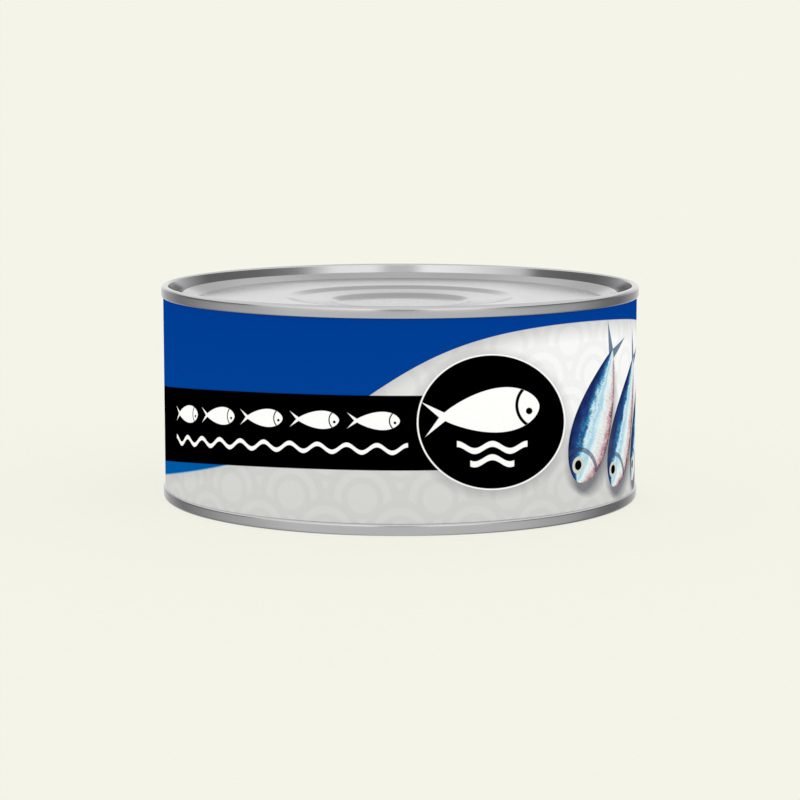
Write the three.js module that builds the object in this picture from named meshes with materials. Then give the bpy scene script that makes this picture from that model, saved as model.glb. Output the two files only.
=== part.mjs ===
// A sealed round sardine tin, in millimetres, with +Z up. The origin is the centre of the ring that it stands on.
// A printed body, filled and shut, is closed by two alike steel ends, each folded round its edge in a double seam.
import * as THREE from 'three';

// The whole tin
const TIN_HEIGHT = 58;
const SEAM_RADIUS = 65;
const SEAM_HEIGHT = 3.2;
const BODY_RADIUS = 64.5;
const BODY_WALL = 0.5;
const CLEARANCE = 0.3;
const SIDES = 72;

// An end, with every depth measured from the crest of its seam
const CREST_WIDTH = 0.4;
const OUTER_ROUNDING = 0.9;
const INNER_ROUNDING = 0.5;
const LIP_ROUNDING = 0.7;
const GROOVE_DEPTH = 5.6;
const GROOVE_RADIUS = 61.9;
const GROOVE_ROUNDING = 0.9;
const PLUG_DEPTH = 6.4;
const SHOULDER_ROUNDING = 0.8;

// The panel's pressed rings, from the shoulder beside the groove to the disc in the middle
const SHOULDER = { radius: 59.3, depth: 2.2 };
const CREASE = { radius: 55.1, depth: 4 };
const LEDGE = { radius: 54, depth: 3.75 };
const SWELL = { radius: 44, depth: 3.5 };
const SHELF_EDGE = { radius: 32, depth: 3.5 };
const SHELF_FOOT = { radius: 27, depth: 4.1 };
const INNER_SHELF = { radius: 19.5, depth: 4.55 };
const DISC = { radius: 16.2, depth: 5.5 };

const BLUE_PRINT = { color: 0x003f96, roughness: 0.35, metalness: 0 };
const BARE_STEEL = { color: 0xc3c3c3, roughness: 0.3, metalness: 0.9 };

// A round corner of a profile, as radius and height, from one angle to another in degrees.
function corner(radius, height, rounding, from, to, steps) {
  return Array.from({ length: steps + 1 }, (_, index) => {
    const angle = THREE.MathUtils.degToRad(THREE.MathUtils.lerp(from, to, index / steps));
    return new THREE.Vector2(radius + rounding * Math.cos(angle), height + rounding * Math.sin(angle));
  });
}

// The pressed slope that eases from one ring of the panel down or up to the next.
function slope(outer, inner, steps) {
  return Array.from({ length: steps }, (_, index) => {
    const share = (index + 1) / steps;
    const eased = (1 - Math.cos(Math.PI * share)) / 2;
    const radius = THREE.MathUtils.lerp(outer.radius, inner.radius, share);
    return new THREE.Vector2(radius, -THREE.MathUtils.lerp(outer.depth, inner.depth, eased));
  });
}

// Spins a profile of radius and height, given from its underside outwards and back in over the top.
function spun(profile) {
  return new THREE.LatheGeometry(profile, SIDES).rotateX(Math.PI / 2);
}

// The recess in each end of the body, which an end's plug fits with the clearance round it
const RECESS_RADIUS = BODY_RADIUS - BODY_WALL;
const RECESS_DEPTH = PLUG_DEPTH + CLEARANCE;
const WALL_END = SEAM_HEIGHT + CLEARANCE;

function bodyProfile() {
  return [
    new THREE.Vector2(0, RECESS_DEPTH),
    new THREE.Vector2(RECESS_RADIUS, RECESS_DEPTH),
    new THREE.Vector2(RECESS_RADIUS, WALL_END),
    new THREE.Vector2(BODY_RADIUS, WALL_END),
    new THREE.Vector2(BODY_RADIUS, TIN_HEIGHT - WALL_END),
    new THREE.Vector2(RECESS_RADIUS, TIN_HEIGHT - WALL_END),
    new THREE.Vector2(RECESS_RADIUS, TIN_HEIGHT - RECESS_DEPTH),
    new THREE.Vector2(0, TIN_HEIGHT - RECESS_DEPTH),
  ];
}

// An end lies with its crest at height 0 and its panel facing up.
function endProfile() {
  const plugRadius = RECESS_RADIUS - CLEARANCE;
  const crestOuter = SEAM_RADIUS - OUTER_ROUNDING;
  const crestInner = crestOuter - CREST_WIDTH;
  const lipRadius = SEAM_RADIUS - LIP_ROUNDING;
  const grooveFloor = -GROOVE_DEPTH + GROOVE_ROUNDING;
  return [
    new THREE.Vector2(0, -PLUG_DEPTH),
    new THREE.Vector2(plugRadius, -PLUG_DEPTH),
    new THREE.Vector2(plugRadius, -SEAM_HEIGHT),
    ...corner(lipRadius, -SEAM_HEIGHT + LIP_ROUNDING, LIP_ROUNDING, -90, 0, 3),
    ...corner(crestOuter, -OUTER_ROUNDING, OUTER_ROUNDING, 0, 90, 4),
    ...corner(crestInner, -INNER_ROUNDING, INNER_ROUNDING, 90, 180, 3),
    ...corner(GROOVE_RADIUS, grooveFloor, GROOVE_ROUNDING, 0, -180, 4),
    ...corner(SHOULDER.radius, -SHOULDER.depth - SHOULDER_ROUNDING, SHOULDER_ROUNDING, 0, 90, 3),
    ...slope(SHOULDER, CREASE, 4),
    ...slope(CREASE, LEDGE, 1),
    ...slope(LEDGE, SWELL, 2),
    ...slope(SWELL, SHELF_EDGE, 1),
    ...slope(SHELF_EDGE, SHELF_FOOT, 3),
    ...slope(SHELF_FOOT, INNER_SHELF, 1),
    ...slope(INNER_SHELF, DISC, 3),
    new THREE.Vector2(0, -DISC.depth),
  ];
}

function part(name, profile, finish) {
  const mesh = new THREE.Mesh(spun(profile), new THREE.MeshStandardMaterial(finish));
  mesh.name = name;
  return mesh;
}

const body = part('printed_body', bodyProfile(), BLUE_PRINT);

const topEnd = part('top_end', endProfile(), BARE_STEEL);
topEnd.position.z = TIN_HEIGHT;

const bottomEnd = part('bottom_end', endProfile(), BARE_STEEL);
bottomEnd.rotation.x = Math.PI;

const tin = new THREE.Group();
tin.add(body, topEnd, bottomEnd);

export default tin;
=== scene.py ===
import math

import bmesh
import bpy
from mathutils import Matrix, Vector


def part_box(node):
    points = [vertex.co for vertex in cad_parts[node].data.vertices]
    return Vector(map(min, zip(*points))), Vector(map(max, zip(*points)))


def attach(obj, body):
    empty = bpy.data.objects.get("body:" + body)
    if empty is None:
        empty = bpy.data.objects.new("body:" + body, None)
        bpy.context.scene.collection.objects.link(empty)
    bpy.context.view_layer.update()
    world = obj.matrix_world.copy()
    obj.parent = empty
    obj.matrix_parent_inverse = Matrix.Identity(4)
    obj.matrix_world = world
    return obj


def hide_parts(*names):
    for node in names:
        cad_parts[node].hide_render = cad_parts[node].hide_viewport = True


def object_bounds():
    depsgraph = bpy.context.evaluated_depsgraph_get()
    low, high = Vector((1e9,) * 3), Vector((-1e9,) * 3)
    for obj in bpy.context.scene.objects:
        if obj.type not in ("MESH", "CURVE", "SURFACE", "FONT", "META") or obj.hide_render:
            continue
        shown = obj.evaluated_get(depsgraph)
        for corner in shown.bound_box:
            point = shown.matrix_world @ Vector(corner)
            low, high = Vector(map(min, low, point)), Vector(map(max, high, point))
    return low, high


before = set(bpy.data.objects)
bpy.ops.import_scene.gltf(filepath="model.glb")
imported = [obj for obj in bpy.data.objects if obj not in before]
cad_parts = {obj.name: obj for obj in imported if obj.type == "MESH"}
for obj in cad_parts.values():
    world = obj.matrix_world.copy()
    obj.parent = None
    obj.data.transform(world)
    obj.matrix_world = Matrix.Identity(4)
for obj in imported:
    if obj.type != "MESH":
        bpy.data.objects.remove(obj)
cad_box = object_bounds()

MM = 0.001

# The whole tin, as the frame has it
TIN_HEIGHT = cad_box[1].z
SEAM_RADIUS = cad_box[1].x
BODY_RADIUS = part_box("printed_body")[1].x
PLUG_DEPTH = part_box("bottom_end")[1].z
BODY_WALL = 0.5 * MM
CLEARANCE = 0.3 * MM
PLUG_RADIUS = BODY_RADIUS - BODY_WALL - CLEARANCE
SECTORS = 12
SECTOR_STEPS = 16

# An end's seam, with every depth measured from its crest
SEAM_HEIGHT = 3.2 * MM
CREST_WIDTH = 0.4 * MM
OUTER_ROUNDING = 0.9 * MM
INNER_ROUNDING = 0.5 * MM
LIP_ROUNDING = 0.7 * MM
GROOVE_DEPTH = 5.6 * MM
GROOVE_OUTSIDE = 62.2 * MM
GROOVE_INSIDE = 61 * MM
GROOVE_ROUNDING = 0.8 * MM
SHOULDER_RADIUS = 59.5 * MM
SHOULDER_DEPTH = 1.9 * MM
SHOULDER_ROUNDING = 0.8 * MM

# The panel's pressed rings, each as its radius, its depth and how far it is eased to either side
CREASE = (55.1 * MM, 3.8 * MM, 0.3 * MM)
LEDGE = (54 * MM, 3.32 * MM, 0.4 * MM)
SHELF_EDGE = (31.5 * MM, 3.45 * MM, 0.9 * MM)
SHELF_FOOT = (27.5 * MM, 4.15 * MM, 0.9 * MM)
INNER_SHELF = (19.5 * MM, 4.55 * MM, 0.8 * MM)
DISC = (16.2 * MM, 5.5 * MM, 0.8 * MM)
PANEL = [CREASE, LEDGE, SHELF_EDGE, SHELF_FOOT, INNER_SHELF, DISC]

# The wall's ends are sunk in the seams, and its weld runs down the back
WALL_SUNK = 0.1 * MM
WALL_LOW = SEAM_HEIGHT - WALL_SUNK
WALL_TOP = TIN_HEIGHT - WALL_LOW
WELD_WIDTH = 1.3 * MM
WELD_PROUD = 0.12 * MM
WELD_SUNK = 3 * WELD_PROUD
WELD_ROUNDING = 1.5 * WELD_PROUD

# How finely corners are rounded, what counts as one point, and what stays a sharp edge
ARC_STEPS = 8
EASE_STEPS = 6
WELD_STEPS = 4
SAME_POINT = 0.001 * MM
SHARP_ANGLE = math.radians(35)


# Modelling

def round_corner(bm, vert, rounding):
    """Rounds one corner of an open line with an arc of that radius."""
    towards = [(edge.other_vert(vert).co - vert.co).normalized() for edge in vert.link_edges]
    turn = math.pi - towards[0].angle(towards[1])
    bmesh.ops.bevel(bm, geom=[vert], offset=rounding * math.tan(turn / 2), offset_type="OFFSET",
                    segments=ARC_STEPS, profile=0.5, affect="VERTICES", material=-1)


def ease_corner(bm, vert, reach):
    """Rounds one shallow corner of an open line over that reach along each of its sides."""
    bmesh.ops.bevel(bm, geom=[vert], offset=reach, offset_type="OFFSET", segments=EASE_STEPS, profile=0.5,
                    affect="VERTICES", material=-1)


def open_line(corners):
    """A line of edges in the plane of X and Z through corners of (radius, height)."""
    bm = bmesh.new()
    verts = [bm.verts.new((radius, 0, height)) for radius, height in corners]
    for first, second in zip(verts, verts[1:]):
        bm.edges.new((first, second))
    return bm, verts


def turned(bm):
    """Spins a line from axis to axis through one sector, and repeats that into a closed solid."""
    sector = 2 * math.pi / SECTORS
    bmesh.ops.spin(bm, geom=bm.verts[:] + bm.edges[:], cent=(0, 0, 0), axis=(0, 0, 1), angle=sector,
                   steps=SECTOR_STEPS)
    bmesh.ops.spin(bm, geom=bm.verts[:] + bm.edges[:] + bm.faces[:], cent=(0, 0, 0), axis=(0, 0, 1),
                   angle=2 * math.pi - sector, steps=SECTORS - 1, use_duplicate=True)
    bmesh.ops.remove_doubles(bm, verts=bm.verts[:], dist=SAME_POINT)
    bmesh.ops.recalc_face_normals(bm, faces=bm.faces[:])


def piece(name, bm, material):
    """Makes the bmesh a finished piece on the tin's one body."""
    mesh = bpy.data.meshes.new(name)
    bm.to_mesh(mesh)
    bm.free()
    mesh.shade_smooth()
    mesh.set_sharp_from_angle(angle=SHARP_ANGLE)
    mesh.materials.append(material)
    made = bpy.data.objects.new(name, mesh)
    bpy.context.scene.collection.objects.link(made)
    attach(made, "root")
    return made


def printed_wall(material):
    """The wall with its printed outside, closed in behind the two ends."""
    recess = BODY_RADIUS - BODY_WALL
    corners = [
        (0, PLUG_DEPTH),
        (recess, PLUG_DEPTH),
        (recess, WALL_LOW),
        (BODY_RADIUS, WALL_LOW),
        (BODY_RADIUS, WALL_TOP),
        (recess, WALL_TOP),
        (recess, TIN_HEIGHT - PLUG_DEPTH),
        (0, TIN_HEIGHT - PLUG_DEPTH),
    ]
    bm, _ = open_line(corners)
    turned(bm)
    wall = piece("printed_wall", bm, material)
    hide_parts("printed_body")


def end_profile():
    """An end's line from the axis under its plug, round the seam and the groove, to the axis on its panel."""
    crest_inside = SEAM_RADIUS - OUTER_ROUNDING - CREST_WIDTH - INNER_ROUNDING
    seam = [
        (0, -PLUG_DEPTH, 0),
        (PLUG_RADIUS, -PLUG_DEPTH, 0),
        (PLUG_RADIUS, -SEAM_HEIGHT, 0),
        (SEAM_RADIUS, -SEAM_HEIGHT, LIP_ROUNDING),
        (SEAM_RADIUS, 0, OUTER_ROUNDING),
        (crest_inside, 0, INNER_ROUNDING),
        (GROOVE_OUTSIDE, -GROOVE_DEPTH, GROOVE_ROUNDING),
        (GROOVE_INSIDE, -GROOVE_DEPTH, GROOVE_ROUNDING),
        (SHOULDER_RADIUS, -SHOULDER_DEPTH, SHOULDER_ROUNDING),
    ]
    rings = [(radius, -depth) for radius, depth, _ in PANEL]
    bm, verts = open_line([corner[:2] for corner in seam] + rings + [(0, -DISC[1])])
    for vert, (_, _, rounding) in zip(verts, seam):
        if rounding:
            round_corner(bm, vert, rounding)
    for vert, (_, _, reach) in zip(verts[len(seam):], PANEL):
        ease_corner(bm, vert, reach)
    return bm


def steel_end(name, node, material, turned_over=False):
    """One pressed end, laid on the tin's top or turned over under its foot."""
    bm = end_profile()
    turned(bm)
    if turned_over:
        bmesh.ops.scale(bm, vec=(1, 1, -1), verts=bm.verts[:])
        bmesh.ops.recalc_face_normals(bm, faces=bm.faces[:])
    else:
        bmesh.ops.translate(bm, vec=(0, 0, TIN_HEIGHT), verts=bm.verts[:])
    end = piece(name, bm, material)
    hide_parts(node)


def side_weld(material):
    """The slightly raised weld that closes the wall behind, sunk in it but for its crown."""
    bm = bmesh.new()
    bmesh.ops.create_cube(bm, size=1)
    bmesh.ops.scale(bm, vec=(WELD_WIDTH, WELD_SUNK + WELD_PROUD, WALL_TOP - WALL_LOW), verts=bm.verts[:])
    middle = BODY_RADIUS + (WELD_PROUD - WELD_SUNK) / 2
    bmesh.ops.translate(bm, vec=(0, middle, TIN_HEIGHT / 2), verts=bm.verts[:])
    upright = [edge for edge in bm.edges
               if all(vert.co.y > BODY_RADIUS for vert in edge.verts)
               and abs(edge.verts[0].co.x - edge.verts[1].co.x) < SAME_POINT]
    bmesh.ops.bevel(bm, geom=upright, offset=WELD_ROUNDING, offset_type="OFFSET", segments=WELD_STEPS,
                    profile=0.5, affect="EDGES", material=-1)
    bmesh.ops.recalc_face_normals(bm, faces=bm.faces[:])
    piece("side_weld", bm, material)


# Shader maths

class Value:
    """A socket that holds a number. Python's operators on it add Math nodes."""

    def __init__(self, shader, socket):
        self.shader = shader
        self.socket = socket

    def math(self, operation, *others, clamp=False):
        settings = {"operation": operation}
        if clamp:
            settings["use_clamp"] = True
        node = self.shader.make("ShaderNodeMath", settings, (self,) + others)
        return Value(self.shader, node.outputs[0])

    def __add__(self, other):
        return self.math("ADD", other)

    def __sub__(self, other):
        return self.math("SUBTRACT", other)

    def __rsub__(self, other):
        return self.math("MULTIPLY_ADD", -1, other)

    def __mul__(self, other):
        return self.math("MULTIPLY", other)

    def __truediv__(self, other):
        return self.math("DIVIDE", other)

    def __pow__(self, other):
        return self.math("POWER", other)

    def __abs__(self):
        return self.math("ABSOLUTE")

    __radd__ = __add__
    __rmul__ = __mul__

    def at_least(self, other):
        return self.math("MAXIMUM", other)

    def at_most(self, other):
        return self.math("MINIMUM", other)

    def root(self):
        return self.math("SQRT")

    def cell(self, pitch):
        """Where the number lies in cells of that pitch, from the middle of its own."""
        return self.math("WRAP", pitch / 2, -pitch / 2)

    def inside(self, softness=0.15):
        """1 where the number is above 0 and 0 below, with an edge that wide."""
        return self.math("MULTIPLY_ADD", 1 / softness, 0.5, clamp=True)

    def rising(self, low, high):
        """0 at the low number, 1 at the high one and even between. It falls where high is the lower."""
        return self.math("MULTIPLY_ADD", 1 / (high - low), -low / (high - low), clamp=True)


class Shader:
    """A node tree that is written through one call for a node and a few for what comes often."""

    def __init__(self, owner):
        owner.use_nodes = True
        self.tree = owner.node_tree
        self.tree.nodes.clear()

    def make(self, kind, settings=None, inputs=None):
        """Adds a node, sets its settings, and then gives its sockets values or links."""
        node = self.tree.nodes.new(kind)
        for name, setting in (settings or {}).items():
            if name == "stops":
                self.set_stops(node.color_ramp, setting)
            else:
                setattr(node, name, setting)
        pairs = inputs.items() if isinstance(inputs, dict) else enumerate(inputs or ())
        for key, value in pairs:
            if isinstance(value, Value):
                value = value.socket
            if isinstance(value, bpy.types.NodeSocket):
                self.tree.links.new(value, node.inputs[key])
            else:
                node.inputs[key].default_value = value
        return node

    @staticmethod
    def set_stops(ramp, stops):
        for element, (place, colour) in zip(ramp.elements, stops):
            element.position, element.color = place, colour
        for place, colour in stops[len(ramp.elements):]:
            ramp.elements.new(place).color = colour

    def split(self, vector):
        node = self.make("ShaderNodeSeparateXYZ", inputs=[vector])
        return [Value(self, output) for output in node.outputs]

    def join(self, x, y, z):
        return self.make("ShaderNodeCombineXYZ", inputs=[x, y, z]).outputs[0]

    def mix(self, share, first, second):
        """A colour that is first where share is 0 and second where it is 1."""
        node = self.make("ShaderNodeMix", {"data_type": "RGBA"}, {0: share, 6: first, 7: second})
        return node.outputs[2]

    def shade(self, colour, level):
        """A colour made lighter or darker by a number."""
        vector = colour[:3] if isinstance(colour, tuple) else colour
        node = self.make("ShaderNodeVectorMath", {"operation": "SCALE"}, {0: vector, "Scale": level})
        return node.outputs[0]

    def ramp(self, value, stops):
        return self.make("ShaderNodeValToRGB", {"stops": stops}, [value]).outputs[0]

    def noise(self, vector, scale, detail=2, roughness=0.5):
        """Smooth noise from 0 to 1, with scale in waves a metre where the vector is in metres."""
        node = self.make("ShaderNodeTexNoise", {"noise_dimensions": "3D"},
                         {"Vector": vector, "Scale": scale, "Detail": detail, "Roughness": roughness})
        return Value(self, node.outputs[0])

    def finish(self, surface, kind="ShaderNodeOutputMaterial"):
        self.make(kind, inputs={"Surface": surface})


def srgb(red, green, blue):
    """A linear colour from its 0 to 255 values on a screen."""
    def linear(level):
        level /= 255
        return level / 12.92 if level <= 0.04045 else ((level + 0.055) / 1.055) ** 2.4
    return (linear(red), linear(green), linear(blue), 1)


def grey(level):
    return (level, level, level, 1)


def principled(shader, colour, **sockets):
    inputs = {"Base Color": colour}
    inputs.update({name.replace("_", " "): value for name, value in sockets.items()})
    return shader.make("ShaderNodeBsdfPrincipled", inputs=inputs).outputs[0]


# Finishes

BACKDROP = srgb(244, 244, 232)
STEEL = grey(0.52)

# The studio's even light, and how bright it shows a white print
DIFFUSE_LIGHT = 1.13
PRINT_LIGHT = 1.03


def ink(red, green, blue):
    """A printed colour, so that the studio's light shows it at these screen values."""
    return tuple(level / PRINT_LIGHT for level in srgb(red, green, blue)[:3]) + (1,)


BLACK = ink(0, 0, 0)
WHITE = ink(253, 253, 253)
BLUE_LOW = ink(0, 89, 166)
BLUE_BAND = ink(0, 69, 154)
BLUE_MIDDLE = ink(0, 63, 150)
BLUE_HIGH = ink(0, 60, 147)
PALE_LOW = ink(213, 213, 213)
PALE_HIGH = ink(246, 246, 247)
PALE_EDGE = ink(190, 190, 192)
EDGE_LINE = ink(110, 180, 228)
SHADOW_INK = ink(74, 78, 92)
TAIL_INK = ink(104, 124, 150)
GILL_INK = ink(48, 66, 104)
EYE_INK = ink(206, 210, 200)

# A printed sardine's side, from its belly to its back
SKIN = [
    (0.00, ink(112, 78, 92)),
    (0.08, ink(192, 152, 158)),
    (0.20, ink(224, 218, 222)),
    (0.36, ink(230, 243, 243)),
    (0.50, ink(160, 206, 230)),
    (0.60, ink(216, 238, 242)),
    (0.69, ink(54, 146, 192)),
    (0.76, ink(40, 76, 130)),
    (0.88, ink(30, 48, 104)),
    (1.00, ink(18, 28, 66)),
]

# The print is laid out in millimetres along and up the wall, with azimuths from the front towards +X
WALL_RADIUS = BODY_RADIUS / MM
WALL_ROUND = 2 * math.pi * WALL_RADIUS
WALL_HEIGHT = TIN_HEIGHT / MM
BARE_WIDTH = 6

# The blue field grows darker upwards
BLUE_FIELD = [(0.24, BLUE_LOW), (0.48, BLUE_BAND), (0.62, BLUE_MIDDLE), (0.93, BLUE_HIGH)]

# The edge between the blue field and the pale sweep swings up to the right of the front and down again behind
SWEEP_HEIGHT = 26.3
SWEEP_SWING = 15.5
SWEEP_STEEPNESS = 2.4
SWEEP_CROSSING = math.radians(-7.8)
SWEEP_SWAY = 11.2
SWEEP_CREST = math.radians(32.3)

# The pale ground is brightest to the right of the roundel, and greyer low down and along its edge
BRIGHT_FROM_HEIGHT = (15, 30)
BRIGHT_FROM_ARC = (-15, 38)
BRIGHT_BELOW_EDGE = (0, 5)
EDGE_SHADE = 0.45
EDGE_SHADE_BELOW = (3, 0.3)
EDGE_SHADE_ARC = (70, 30)
EDGE_LINE_HALF = 0.15
EDGE_LINE_SOFT = 0.3
EDGE_LINE_HEIGHT = (30, 12)
EDGE_LINE_SHARE = 0.7

# The black band sags and widens towards both sides, and ends round
BAND_HEIGHT = 26.2
BAND_HALF = 9.47
BAND_SAG = 6.95
BAND_SPREAD = 1
BAND_START = -165
BAND_FINISH = 24
SAG_POWER = 1.3
SAG_EASING = 0.005

# The ornament on the band: a row of small fish over a wave line
ORNAMENT_START = -75
ORNAMENT_FINISH = 2
SMALL_PITCH = 15.4
SMALL_LENGTH = 11.4
SMALL_DEPTH = 4.8
SMALL_HEIGHT = 29.3
WAVE_HEIGHT = 22.2
WAVE_SWING = 0.95
WAVE_HALF = 0.55

# The roundel is round as it is seen from the front, across its middle and up
ROUNDEL_MIDDLE = 23.28
ROUNDEL_HEIGHT = 28.97
ROUNDEL_SAG = 9.2
ROUNDEL_HALF_WIDTH = 19.08
ROUNDEL_HALF_HEIGHT = 17.29
RING_SHARE = 0.021
HALO = (1.14, 0.98)
HALO_DROP = 0.5
HALO_SHARE = 0.3

# The roundel's ornament: a fish by its middle, tilt, length and depth, and waves by height and half width
ROUNDEL_FISH = ((-0.6, 2.8), 187, 25.5, 11.5)
ROUNDEL_WAVES = ((-6.4, 9.0), (-9.8, 5.6))
ROUNDEL_WAVE_PITCH = 9
ROUNDEL_WAVE_SWING = 0.9
ROUNDEL_WAVE_HALF = 0.75

# The faint scales on the pale ground, each of two rings with a half width
SCALE_PITCH = 19
SCALE_DEPTH = 0.055
SCALE_RADIUS = 9.3
SCALE_RINGS = ((8.3, 1.0), (4.6, 0.8))
SCALE_SOFT = 0.4
SCALE_EDGE = 0.3

# The printed sardines, from the farthest round the tin, each by its middle, tilt, length and depth
SARDINES = (
    ((94.5, 21.5), 58, 36.0, 15.5),
    ((76.5, 23.5), 61, 37.0, 16.5),
    ((59.0, 27.0), 64, 36.5, 17.5),
)

# The shadow under each of them
CAST_SHIFT = (0.5, -3.5)
CAST_SOFT = (-2.5, 2.5)
CAST_TIPS = (0, 4)
CAST_SHARE = 0.75

# Their skin: fine streaks and broad patches, by their waves a millimetre along and across it, and how far
# they shift its colours
STREAK_WAVES = (2.4, 0.5)
STREAK_SHIFT = 0.3
STREAK_DARK = 0.7
STREAK_LIGHT = 0.6
PATCH_WAVES = (0.25, 0.5)
PATCH_SHIFT = 0.32
GILL_SHARE = 0.7

# The row of spots on their flanks, with its height and its two ends as shares of the fish's depth and length
SPOT_PITCH = 4.2
SPOT_RADIUS = 0.6
SPOT_SOFT = 0.5
SPOT_SHARE = 0.6
SPOT_HEIGHT = 0.17
SPOTS_FROM = (-0.36, -0.3)
SPOTS_TO = (0.3, 0.25)

# A fish's body, by how full its outline is and how far it is drawn in
BODY_FULLNESS = 0.72
BODY_DRAWN_IN = 0.1

# Its tail, eye and gill, as shares of its half length along it and of its depth across it. The tail's
# spread and its rake are slopes.
TAIL_SPREAD = 0.62
TAIL_ROOT = 0.48
TAIL_RAKE = 0.9
TAIL_NOTCH = 1.02
EYE_ALONG = -0.78
EYE_ACROSS = 0.1
EYE_RADIUS = 0.075
EYE_RIM = 0.13
GILL_RADIUS = 0.46
GILL_HALF = 0.035


class Fish:
    """A plain sardine on the print, by how far a point lies along it, towards its tail, and across it."""

    def __init__(self, out, up, centre, tilt, length, depth):
        lift = math.radians(tilt)
        out = out - centre[0]
        up = up - centre[1]
        half = length / 2
        self.along = out * math.cos(lift) + up * math.sin(lift)
        self.across = up * math.cos(lift) - out * math.sin(lift)
        side = abs(self.across)
        share = self.along.math("MULTIPLY_ADD", 1 / length, 0.5, clamp=True)
        bulge = ((share ** BODY_FULLNESS) * math.pi).math("SINE")
        self.width = bulge ** BODY_FULLNESS * (depth / 2)
        self.body = (self.width - side - BODY_DRAWN_IN).inside()
        fan = self.along.math("MULTIPLY_ADD", TAIL_SPREAD, -TAIL_ROOT * half) - side
        notch = side.math("MULTIPLY_ADD", TAIL_RAKE, TAIL_NOTCH * half) - self.along
        self.tail = fan.at_most(notch).inside()
        self.outline = self.body.at_least(self.tail)
        self.from_eye = self.distance(EYE_ALONG * half, EYE_ACROSS * depth)
        self.eye = (EYE_RADIUS * depth - self.from_eye).inside()
        gill_arc = abs(self.distance(-half, 0) - GILL_RADIUS * half)
        self.gill = (GILL_HALF * depth - gill_arc).inside() * self.body

    def distance(self, along, across):
        out = self.along - along
        up = self.across - across
        return (out * out + up * up).root()

    def stretched(self, waves, seed):
        """A place on the fish for noise, with that many waves to a millimetre along and across it."""
        return self.along.shader.join(self.along * waves[0], self.across * waves[1], seed)

    def white(self):
        """The fish as a plain white shape, with its gill and its eye left open."""
        return self.outline * (1 - self.gill) * (1 - self.eye)


def sweep_ground(shader, arc, height, azimuth):
    """The blue field over the pale sweep, with its faint scales and the light line along its edge."""
    turn = ((azimuth - SWEEP_CROSSING).math("SINE") * SWEEP_STEEPNESS).math("TANH")
    sway = (azimuth - SWEEP_CREST).math("COSINE")
    below = turn * SWEEP_SWING + sway * SWEEP_SWAY + SWEEP_HEIGHT - height
    blue = shader.ramp(height / WALL_HEIGHT, BLUE_FIELD)

    bright = height.rising(*BRIGHT_FROM_HEIGHT) * arc.rising(*BRIGHT_FROM_ARC)
    bright = bright * below.rising(*BRIGHT_BELOW_EDGE)
    pale = shader.mix(bright, PALE_LOW, PALE_HIGH)
    edge_shade = below.rising(*EDGE_SHADE_BELOW) * arc.rising(*EDGE_SHADE_ARC) * EDGE_SHADE
    pale = shader.mix(edge_shade, pale, PALE_EDGE)
    pale = shader.shade(pale, 1 - scales(arc, height) * SCALE_DEPTH)

    colour = shader.mix(below.inside(), blue, pale)
    line = (EDGE_LINE_HALF - abs(below)).inside(EDGE_LINE_SOFT)
    line = line * height.rising(*EDGE_LINE_HEIGHT) * EDGE_LINE_SHARE
    return shader.mix(line, colour, EDGE_LINE)


def scales(arc, height):
    """Overlapping scales of two rings each, every row set half a scale along from the one above."""
    spacing = SCALE_PITCH / 2
    rise = height.math("WRAP", 2 * spacing, 0)
    pattern = None
    for row in (2, 1, 0, -1):
        out = (arc + spacing * (row % 2)).cell(SCALE_PITCH)
        up = rise - row * spacing
        distance = (out * out + up * up).root()
        outer, inner = [(half - abs(distance - radius)).inside(SCALE_SOFT) for radius, half in SCALE_RINGS]
        rings = outer.at_least(inner)
        disc = (SCALE_RADIUS - distance).inside(SCALE_EDGE)
        pattern = rings if pattern is None else pattern * (1 - disc) + rings * disc
    return pattern


def printed_sardines(shader, colour, arc, height):
    """Three sardines lying side by side to the right, each with its soft shadow."""
    for centre, tilt, length, depth in SARDINES:
        below = (centre[0] + CAST_SHIFT[0], centre[1] + CAST_SHIFT[1])
        shadow = Fish(arc, height, below, tilt, length, depth)
        cast = (shadow.width - abs(shadow.across)).rising(*CAST_SOFT) * shadow.width.rising(*CAST_TIPS)
        colour = shader.mix(cast * CAST_SHARE, colour, SHADOW_INK)
        fish = Fish(arc, height, centre, tilt, length, depth)

        # Fine streaks across the skin and broad patches along it shift the line between belly and back
        streaks = shader.noise(fish.stretched(STREAK_WAVES, centre[0]), 1, 4, 0.7)
        patches = shader.noise(fish.stretched(PATCH_WAVES, centre[0]), 1)
        share = fish.across / fish.width.at_least(0.6) * 0.5 + 0.5
        share = share + (streaks - 0.5) * STREAK_SHIFT + (patches - 0.5) * PATCH_SHIFT
        skin = shader.shade(shader.ramp(share, SKIN), STREAK_DARK + streaks * STREAK_LIGHT)

        # A row of spots along the flank, and then the gill and the eye
        spot_out = fish.along.cell(SPOT_PITCH)
        spot_up = fish.across - SPOT_HEIGHT * depth
        spots = (SPOT_RADIUS - (spot_out * spot_out + spot_up * spot_up).root()).inside(SPOT_SOFT)
        along = fish.along / length
        flank = along.rising(*SPOTS_FROM) * along.rising(*SPOTS_TO)
        skin = shader.mix(spots * flank * SPOT_SHARE, skin, GILL_INK)
        skin = shader.mix(fish.gill * GILL_SHARE, skin, GILL_INK)
        skin = shader.mix((EYE_RIM * depth - fish.from_eye).inside(), skin, EYE_INK)
        skin = shader.mix(fish.eye, skin, BLACK)
        colour = shader.mix(fish.tail, colour, TAIL_INK)
        colour = shader.mix(fish.body, colour, skin)
    return colour


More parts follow.
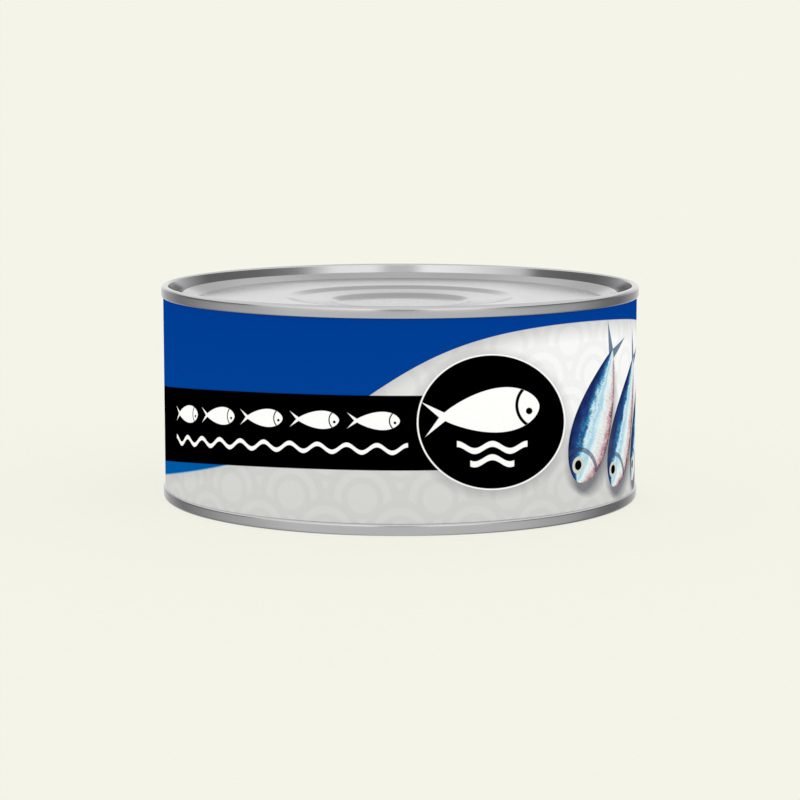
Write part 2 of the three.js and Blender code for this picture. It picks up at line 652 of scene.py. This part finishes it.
def black_band(shader, colour, arc, height, azimuth):
    """The band from its round end behind the tin to the roundel, with small white fish and a wave on it."""
    facing = azimuth.math("COSINE")
    dip = (1 + SAG_EASING / 2) - (facing * facing + SAG_EASING).root()
    sag = dip ** SAG_POWER
    level = height + sag * BAND_SAG - BAND_HEIGHT
    half = sag.math("MULTIPLY_ADD", BAND_SPREAD, BAND_HALF)
    into_end = (half + BAND_START - arc).at_least(0)
    band = half - (into_end * into_end + level * level).root()
    colour = shader.mix(band.at_most(BAND_FINISH - arc).inside(), colour, BLACK)

    on_band = (arc - ORNAMENT_START).at_most(ORNAMENT_FINISH - arc).inside()
    cell = (arc - (ORNAMENT_FINISH - SMALL_PITCH / 2)).cell(SMALL_PITCH)
    small = Fish(cell, level, (0, SMALL_HEIGHT - BAND_HEIGHT), 180, SMALL_LENGTH, SMALL_DEPTH)
    swing = (arc * (4 * math.pi / SMALL_PITCH)).math("SINE") * WAVE_SWING
    wave = (WAVE_HALF - abs(level - (WAVE_HEIGHT - BAND_HEIGHT) - swing)).inside()
    return shader.mix(small.white().at_least(wave) * on_band, colour, WHITE)


def roundel_reach(across, up):
    out = across / ROUNDEL_HALF_WIDTH
    rise = up / ROUNDEL_HALF_HEIGHT
    return (out * out + rise * rise).root()


def roundel(shader, colour, across, up, front):
    """A thin white ring round a black disc, on which a white fish swims over two waves."""
    edge = (1 - roundel_reach(across, up)) * ROUNDEL_HALF_HEIGHT
    ring = RING_SHARE * ROUNDEL_HALF_HEIGHT
    colour = shader.mix(edge.inside() * front, colour, WHITE)
    colour = shader.mix((edge - ring).inside() * front, colour, BLACK)
    white = Fish(across, up, *ROUNDEL_FISH).white()
    swing = (across * (2 * math.pi / ROUNDEL_WAVE_PITCH)).math("COSINE") * ROUNDEL_WAVE_SWING
    for height, half in ROUNDEL_WAVES:
        wave = (ROUNDEL_WAVE_HALF - abs(up - height - swing)).at_most(half - abs(across))
        white = white.at_least(wave.inside())
    return shader.mix(white * front, colour, WHITE)


def print_material():
    """The lithographed outside: blue over a pale sweep, sardines, a black band and a roundel."""
    material = bpy.data.materials.new("printed_tinplate")
    shader = Shader(material)
    place = shader.make("ShaderNodeTexCoord").outputs["Object"]
    x, y, z = shader.split(place)
    azimuth = x.math("ARCTAN2", y * -1)
    arc = azimuth * WALL_RADIUS
    height = z * (1 / MM)
    across = x.math("MULTIPLY_ADD", 1 / MM, -ROUNDEL_MIDDLE)
    up = height + y * (ROUNDEL_SAG / BODY_RADIUS) + (ROUNDEL_SAG - ROUNDEL_HEIGHT)
    front = (y * -1).inside(MM)

    colour = sweep_ground(shader, arc, height, azimuth)
    halo = roundel_reach(across, up + HALO_DROP).rising(*HALO) * front
    colour = shader.mix(halo * HALO_SHARE, colour, SHADOW_INK)
    colour = printed_sardines(shader, colour, arc, height)
    colour = black_band(shader, colour, arc, height, azimuth)
    colour = roundel(shader, colour, across, up, front)

    # The print stops short of the weld behind
    bare = (abs(arc) - (WALL_ROUND - BARE_WIDTH) / 2).inside()
    colour = shader.mix(bare, colour, STEEL)
    surface = principled(shader, colour, Metallic=bare, Roughness=0.3, Specular_IOR_Level=0.0)
    shader.finish(surface)
    return material


# The steel's fine straight grain and its broad clouds, by their waves a metre, and what they do to its polish
GRAIN_SCALE = 1800
GRAIN_STRETCH = 0.03
GRAIN_ROUGHNESS = 0.06
CLOUD_SCALE = 60
CLOUD_ROUGHNESS = 0.04
POLISH = 0.1
BUMP_STRENGTH = 0.12
BUMP_DEPTH = 0.02 * MM


def tinplate():
    """Bright tinplate with the faint straight grain of its rolling."""
    material = bpy.data.materials.new("tinplate")
    shader = Shader(material)
    place = shader.make("ShaderNodeTexCoord").outputs["Object"]
    x, y, z = shader.split(place)
    grain = shader.noise(shader.join(x, y * GRAIN_STRETCH, z), GRAIN_SCALE, 3, 0.6)
    cloud = shader.noise(place, CLOUD_SCALE, 3)
    roughness = POLISH + grain * GRAIN_ROUGHNESS + cloud * CLOUD_ROUGHNESS
    colour = shader.shade(STEEL, 0.97 + cloud * 0.06)
    bump = shader.make("ShaderNodeBump",
                       inputs={"Strength": BUMP_STRENGTH, "Distance": BUMP_DEPTH, "Height": grain})
    surface = principled(shader, colour, Metallic=1, Roughness=roughness, Normal=bump.outputs[0])
    shader.finish(surface)
    return material


# Studio

FLOOR_LIT_SHARE = 0.15
FLOOR_RADIUS = 0.2
FLOOR_SIDES = 128

# The screens that the steel mirrors, each as its place and its brightness, from behind the tin at 0 round
# by its left to the front at 0.5 and on by its right. The low screens stand below the horizon.
LOW_SCREENS = [(0.025, 0.85), (0.08, 0.5), (0.14, 0.27), (0.185, 0.38), (0.25, 0.58), (0.3, 0.68),
               (0.35, 0.85), (0.65, 0.8), (0.7, 0.66), (0.75, 0.56), (0.815, 0.26), (0.86, 0.22),
               (0.92, 0.5), (0.975, 0.85)]
MIDDLE_SCREENS = [(0.04, 0.98), (0.075, 0.6), (0.13, 0.28), (0.17, 0.18), (0.285, 0.22), (0.312, 0.9),
                  (0.335, 0.95), (0.4625, 1.55), (0.4825, 0.4), (0.5175, 0.4), (0.5375, 1.35), (0.6, 1.3),
                  (0.622, 0.8), (0.655, 0.22), (0.83, 0.2), (0.88, 0.5), (0.93, 0.85), (0.96, 0.98)]
UPPER_SCREENS = [(0.2, 1.1), (0.29, 1.2), (0.34, 1.6), (0.66, 1.6), (0.71, 1.2), (0.8, 1.1)]
OVERHEAD = 1.05
STRIP_BEHIND = 0.6

# Where one screen gives way to the next, from 0 at the horizon to 1 overhead, and where the strip ends
HORIZON = -0.01
HORIZON_SOFT = 0.04
UPPER_FROM = (0.2, 0.28)
OVERHEAD_FROM = (0.33, 0.38)
STRIP_SIDE = (0.94, 0.965)
STRIP_FOOT = (0.11, 0.17)
STRIP_HEAD = (0.62, 0.46)


def screen(shader, turn, stops):
    return shader.ramp(turn, [(place, grey(level)) for place, level in stops])


def studio_world():
    """A pale backdrop to look at, even light for the print, and screens for the steel to mirror."""
    world = bpy.data.worlds.new("studio")
    bpy.context.scene.world = world
    shader = Shader(world)
    direction = shader.make("ShaderNodeTexCoord").outputs["Generated"]
    x, y, z = shader.split(direction)
    from_front = x.math("ARCTAN2", y * -1) / (2 * math.pi)
    turn = from_front + 0.5
    rise = z.math("ARCSINE") / (math.pi / 2)
    low = screen(shader, turn, LOW_SCREENS)
    middle = screen(shader, turn, MIDDLE_SCREENS)
    upper = screen(shader, turn, UPPER_SCREENS)
    screens = shader.mix((rise - HORIZON).inside(HORIZON_SOFT), low, middle)
    screens = shader.mix(rise.rising(*UPPER_FROM), screens, upper)
    screens = shader.mix(rise.rising(*OVERHEAD_FROM), screens, grey(OVERHEAD))
    side = (abs(from_front) * 2).rising(*STRIP_SIDE)
    strip = side * rise.rising(*STRIP_FOOT) * rise.rising(*STRIP_HEAD)
    screens = shader.mix(strip, screens, grey(STRIP_BEHIND))
    rays = shader.make("ShaderNodeLightPath").outputs
    seen = shader.mix(rays["Is Diffuse Ray"], screens, grey(DIFFUSE_LIGHT))
    seen = shader.mix(rays["Is Camera Ray"], seen, BACKDROP)
    background = shader.make("ShaderNodeBackground", inputs=[seen, 1.0])
    shader.finish(background.outputs[0], "ShaderNodeOutputWorld")
    world.cycles.sampling_method = "NONE"


def pale_floor():
    """The plain floor, of the backdrop's own colour, that darkens softly where the tin meets it."""
    bm = bmesh.new()
    bmesh.ops.create_circle(bm, cap_ends=True, segments=FLOOR_SIDES, radius=FLOOR_RADIUS)
    mesh = bpy.data.meshes.new("floor")
    bm.to_mesh(mesh)
    bm.free()
    material = bpy.data.materials.new("pale_floor")
    shader = Shader(material)
    lit = tuple(level * FLOOR_LIT_SHARE / DIFFUSE_LIGHT for level in BACKDROP[:3]) + (1,)
    diffuse = shader.make("ShaderNodeBsdfDiffuse", inputs=[lit]).outputs[0]
    glow = shader.make("ShaderNodeEmission", inputs=[BACKDROP, 1 - FLOOR_LIT_SHARE]).outputs[0]
    shader.finish(shader.make("ShaderNodeAddShader", inputs=[diffuse, glow]).outputs[0])
    mesh.materials.append(material)
    floor = bpy.data.objects.new("floor", mesh)
    floor.visible_glossy = False
    bpy.context.scene.collection.objects.link(floor)


CAMERA_DISTANCE = 0.6903
CAMERA_HEIGHT = 0.1207
CAMERA_DIP = math.radians(7.834)
CAMERA_LENS = 114.0


def photo_camera():
    """The photo's view: a long lens, level with the tin's front and looking down on it a little."""
    camera = bpy.data.objects.new("camera", bpy.data.cameras.new("camera"))
    camera.data.lens = CAMERA_LENS
    camera.data.sensor_width = 36
    camera.location = (0, -CAMERA_DISTANCE, CAMERA_HEIGHT)
    camera.rotation_euler = (math.pi / 2 - CAMERA_DIP, 0, 0)
    bpy.context.scene.collection.objects.link(camera)
    bpy.context.scene.camera = camera


bpy.context.scene.view_settings.view_transform = "Standard"
photo_camera()
studio_world()
pale_floor()
steel = tinplate()
printed_wall(print_material())
steel_end("top_panel", "top_end", steel)
steel_end("bottom_panel", "bottom_end", steel, turned_over=True)
side_weld(steel)
